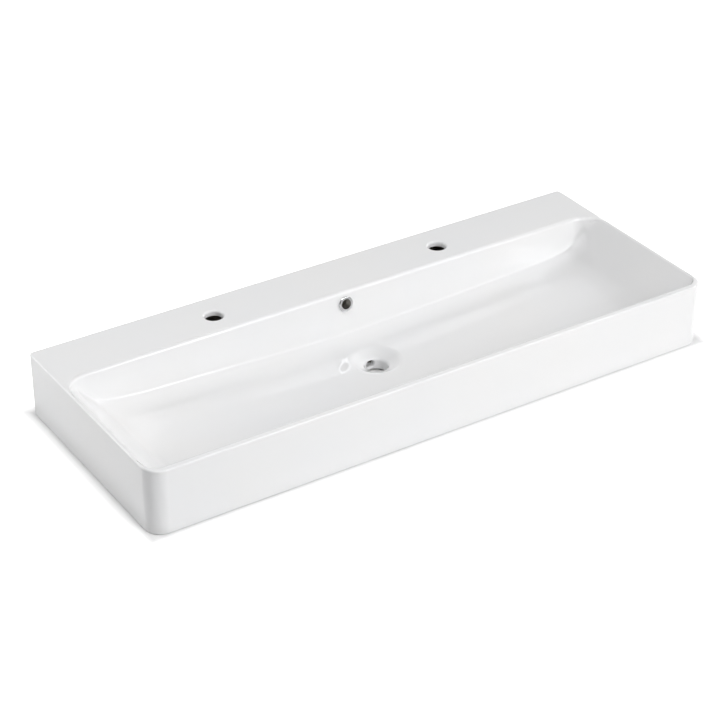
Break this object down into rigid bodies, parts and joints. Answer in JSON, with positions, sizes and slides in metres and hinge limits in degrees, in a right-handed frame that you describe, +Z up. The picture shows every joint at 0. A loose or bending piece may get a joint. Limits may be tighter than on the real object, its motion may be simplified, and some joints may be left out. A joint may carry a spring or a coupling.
{
  "type": "trough sink",
  "caption": "Long rectangular glazed ceramic trough sink with a flat deck for taps along the wall, a swept bowl, a central drain in a round dish and a ringed overflow hole.",
  "frame": {"origin": "middle of the rectangle that the foot stands on", "axes": "+X along the basin's length, to the right as a user faces it; +Y towards the wall; +Z up, from the foot to the rim"},
  "size_m": [1.2, 0.465, 0.13],
  "materials": {
    "glaze": "gloss",
    "ring_chrome": "polished",
    "sleeve_plastic": "matte",
    "gasket_rubber": "matte"
  },
  "bodies": {
    "root": {"basin": "glaze", "overflow_ring": "ring_chrome", "overflow_sleeve": "sleeve_plastic", "overflow_gasket": "gasket_rubber"}
  },
  "joints": []
}
